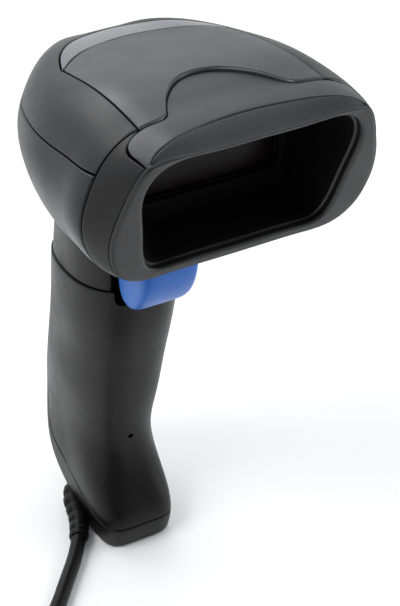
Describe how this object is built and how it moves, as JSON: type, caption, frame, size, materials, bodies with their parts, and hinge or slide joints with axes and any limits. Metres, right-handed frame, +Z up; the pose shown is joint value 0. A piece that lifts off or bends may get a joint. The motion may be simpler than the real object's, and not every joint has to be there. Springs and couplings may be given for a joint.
{
  "type": "handheld barcode scanner",
  "caption": "Pistol-shaped corded scanner: wide hooded reading face, domed head, finger trigger, slim grip with a flat toe to stand on, thin lead ending in a plug.",
  "frame": {"origin": "middle of the flat under the toe of the grip, which the scanner stands on", "axes": "+X to the right seen from behind the scanner, -Y the way the reading window faces, +Z up"},
  "size_m": [0.1132, 0.1582, 0.1688],
  "materials": {
    "shell_charcoal": "fine moulded grain, satin charcoal",
    "bezel_charcoal": "fine moulded grain with a soft sheen on its edges",
    "panel_charcoal": "smooth satin charcoal",
    "smoked_lens": "smoked, glossy, lets the status light through",
    "trigger_blue": "satin royal blue, moulded colour",
    "hood_black": "dead matt black, to swallow stray light",
    "window_red": "hard-coated dark red window",
    "gasket_rubber": "matt black",
    "label_stock": "blank coated label",
    "board_green": "solder resist over glass fibre",
    "chip_black": "moulded chip packages and connectors",
    "led_resin": "clear red-tinted resin",
    "light_pipe": "clear acrylic light pipe",
    "optic_glass": "coated lens glass",
    "engine_metal": "die-cast, bead blasted",
    "barrel_black": "matt black lens barrel",
    "spring_steel": "drawn and ground steel",
    "screw_steel": "zinc-plated steel",
    "ribbon_film": "polyimide film over copper",
    "connector_plastic": "moulded connector housing",
    "plug_clear": "clear polycarbonate",
    "cord_jacket": "soft black PVC jacket",
    "tie_fabric": "woven hook-and-loop strap",
    "plug_moulding": "overmoulded plug grip",
    "plug_steel": "plated plug shell"
  },
  "bodies": {
    "scanner": {"front_bezel": "bezel_charcoal", "front_top_panel": "panel_charcoal", "nose_band": "shell_charcoal", "upper_shell": "shell_charcoal", "top_plate": "panel_charcoal", "status_lens": "smoked_lens", "light_guide": "light_pipe", "lower_shell": "shell_charcoal", "product_label": "label_stock", "grip_front": "shell_charcoal", "grip_rear": "shell_charcoal", "hood_liner": "hood_black", "window_gasket": "gasket_rubber", "exit_window": "window_red", "imager_housing": "engine_metal", "engine_bracket": "engine_metal", "engine_screws": "screw_steel", "bracket_screws": "screw_steel", "lens_barrel": "barrel_black", "imager_lens": "optic_glass", "illumination_board": "board_green", "illumination_leds": "led_resin", "aimer": "barrel_black", "main_board": "board_green", "board_screws": "screw_steel", "board_components": "chip_black", "beeper": "chip_black", "status_led": "led_resin", "engine_ribbon": "ribbon_film", "grip_ribbon": "ribbon_film", "trigger_pin": "spring_steel", "trigger_bracket": "spring_steel", "trigger_bracket_screws": "screw_steel", "trigger_spring": "spring_steel", "interface_board": "board_green", "interface_screws": "screw_steel", "trigger_switch": "connector_plastic", "cord_jack": "connector_plastic", "modular_plug": "plug_clear", "grip_screws": "screw_steel", "strain_relief": "cord_jacket", "cord": "cord_jacket", "cord_end": "cord_jacket", "cord_coil": "cord_jacket", "cord_tie": "tie_fabric", "usb_boot": "plug_moulding", "usb_body": "plug_moulding", "usb_shell": "plug_steel", "usb_tongue": "connector_plastic"},
    "trigger": {"trigger": "trigger_blue"},
    "plunger": {"switch_plunger": "connector_plastic"},
    "latch": {"plug_latch": "plug_clear"}
  },
  "joints": [
    {"name": "trigger_hinge", "type": "hinge", "parent": "scanner", "child": "trigger", "pos_m": [0, -0.015, 0.115], "axis": [1, 0, 0], "range_deg": [0, 5.5], "stiffness_Nm_per_rad": 0.25, "springref_deg": -8.59, "deforming": ["trigger_spring"]},
    {"name": "plunger_slide", "type": "slide", "parent": "scanner", "child": "plunger", "axis": [0, 1, 0], "range_m": [0, 0.0017]},
    {"name": "latch_flex", "type": "hinge", "parent": "scanner", "child": "latch", "pos_m": [0, 0.0148, 0.041], "axis": [1, 0, 0], "range_deg": [0, 4.5], "stiffness_Nm_per_rad": 0.05}
  ],
  "couplings": [
    {"joint": "plunger_slide", "follows": "trigger_hinge", "m_per_rad": 0.0165}
  ]
}
